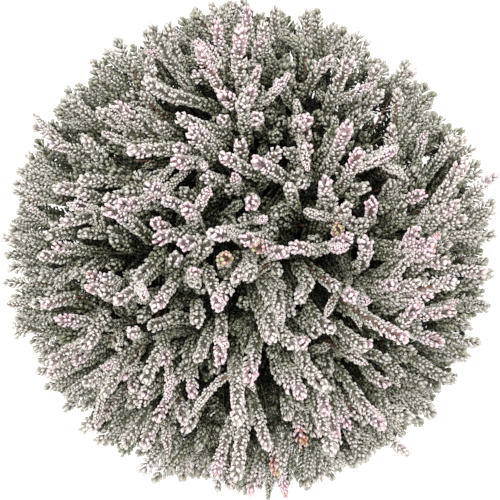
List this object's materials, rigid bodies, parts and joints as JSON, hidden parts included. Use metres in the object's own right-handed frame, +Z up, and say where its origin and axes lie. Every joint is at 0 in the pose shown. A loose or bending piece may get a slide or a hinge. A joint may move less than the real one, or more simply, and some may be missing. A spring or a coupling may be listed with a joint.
{
  "type": "potted heather",
  "caption": "Silver-leaved heather in a plain round pot: woody stems with scale-leaved shoots stand in compost.",
  "frame": {"origin": "centre of the pot's flat underside", "axes": "+Z up through the middle of the pot; X and Y are level"},
  "size_m": [0.1503, 0.1514, 0.1652],
  "materials": {
    "pot_plastic": "matt",
    "compost": "rough and crumbly",
    "foliage": "matt, finely downy"
  },
  "bodies": {
    "root": {"pot": "pot_plastic", "soil": "compost", "branch_01": "foliage", "branch_02": "foliage", "branch_03": "foliage", "branch_04": "foliage", "branch_05": "foliage", "branch_06": "foliage", "branch_07": "foliage", "branch_08": "foliage", "branch_09": "foliage", "branch_10": "foliage", "branch_11": "foliage", "branch_12": "foliage", "branch_13": "foliage", "branch_14": "foliage", "branch_15": "foliage", "branch_16": "foliage", "branch_17": "foliage", "branch_18": "foliage", "branch_19": "foliage", "branch_20": "foliage", "branch_21": "foliage", "branch_22": "foliage", "branch_23": "foliage", "branch_24": "foliage", "branch_25": "foliage", "branch_26": "foliage", "branch_27": "foliage", "branch_28": "foliage", "branch_29": "foliage", "branch_30": "foliage", "branch_31": "foliage", "branch_32": "foliage", "branch_33": "foliage", "branch_34": "foliage", "branch_35": "foliage", "branch_36": "foliage"}
  },
  "joints": []
}
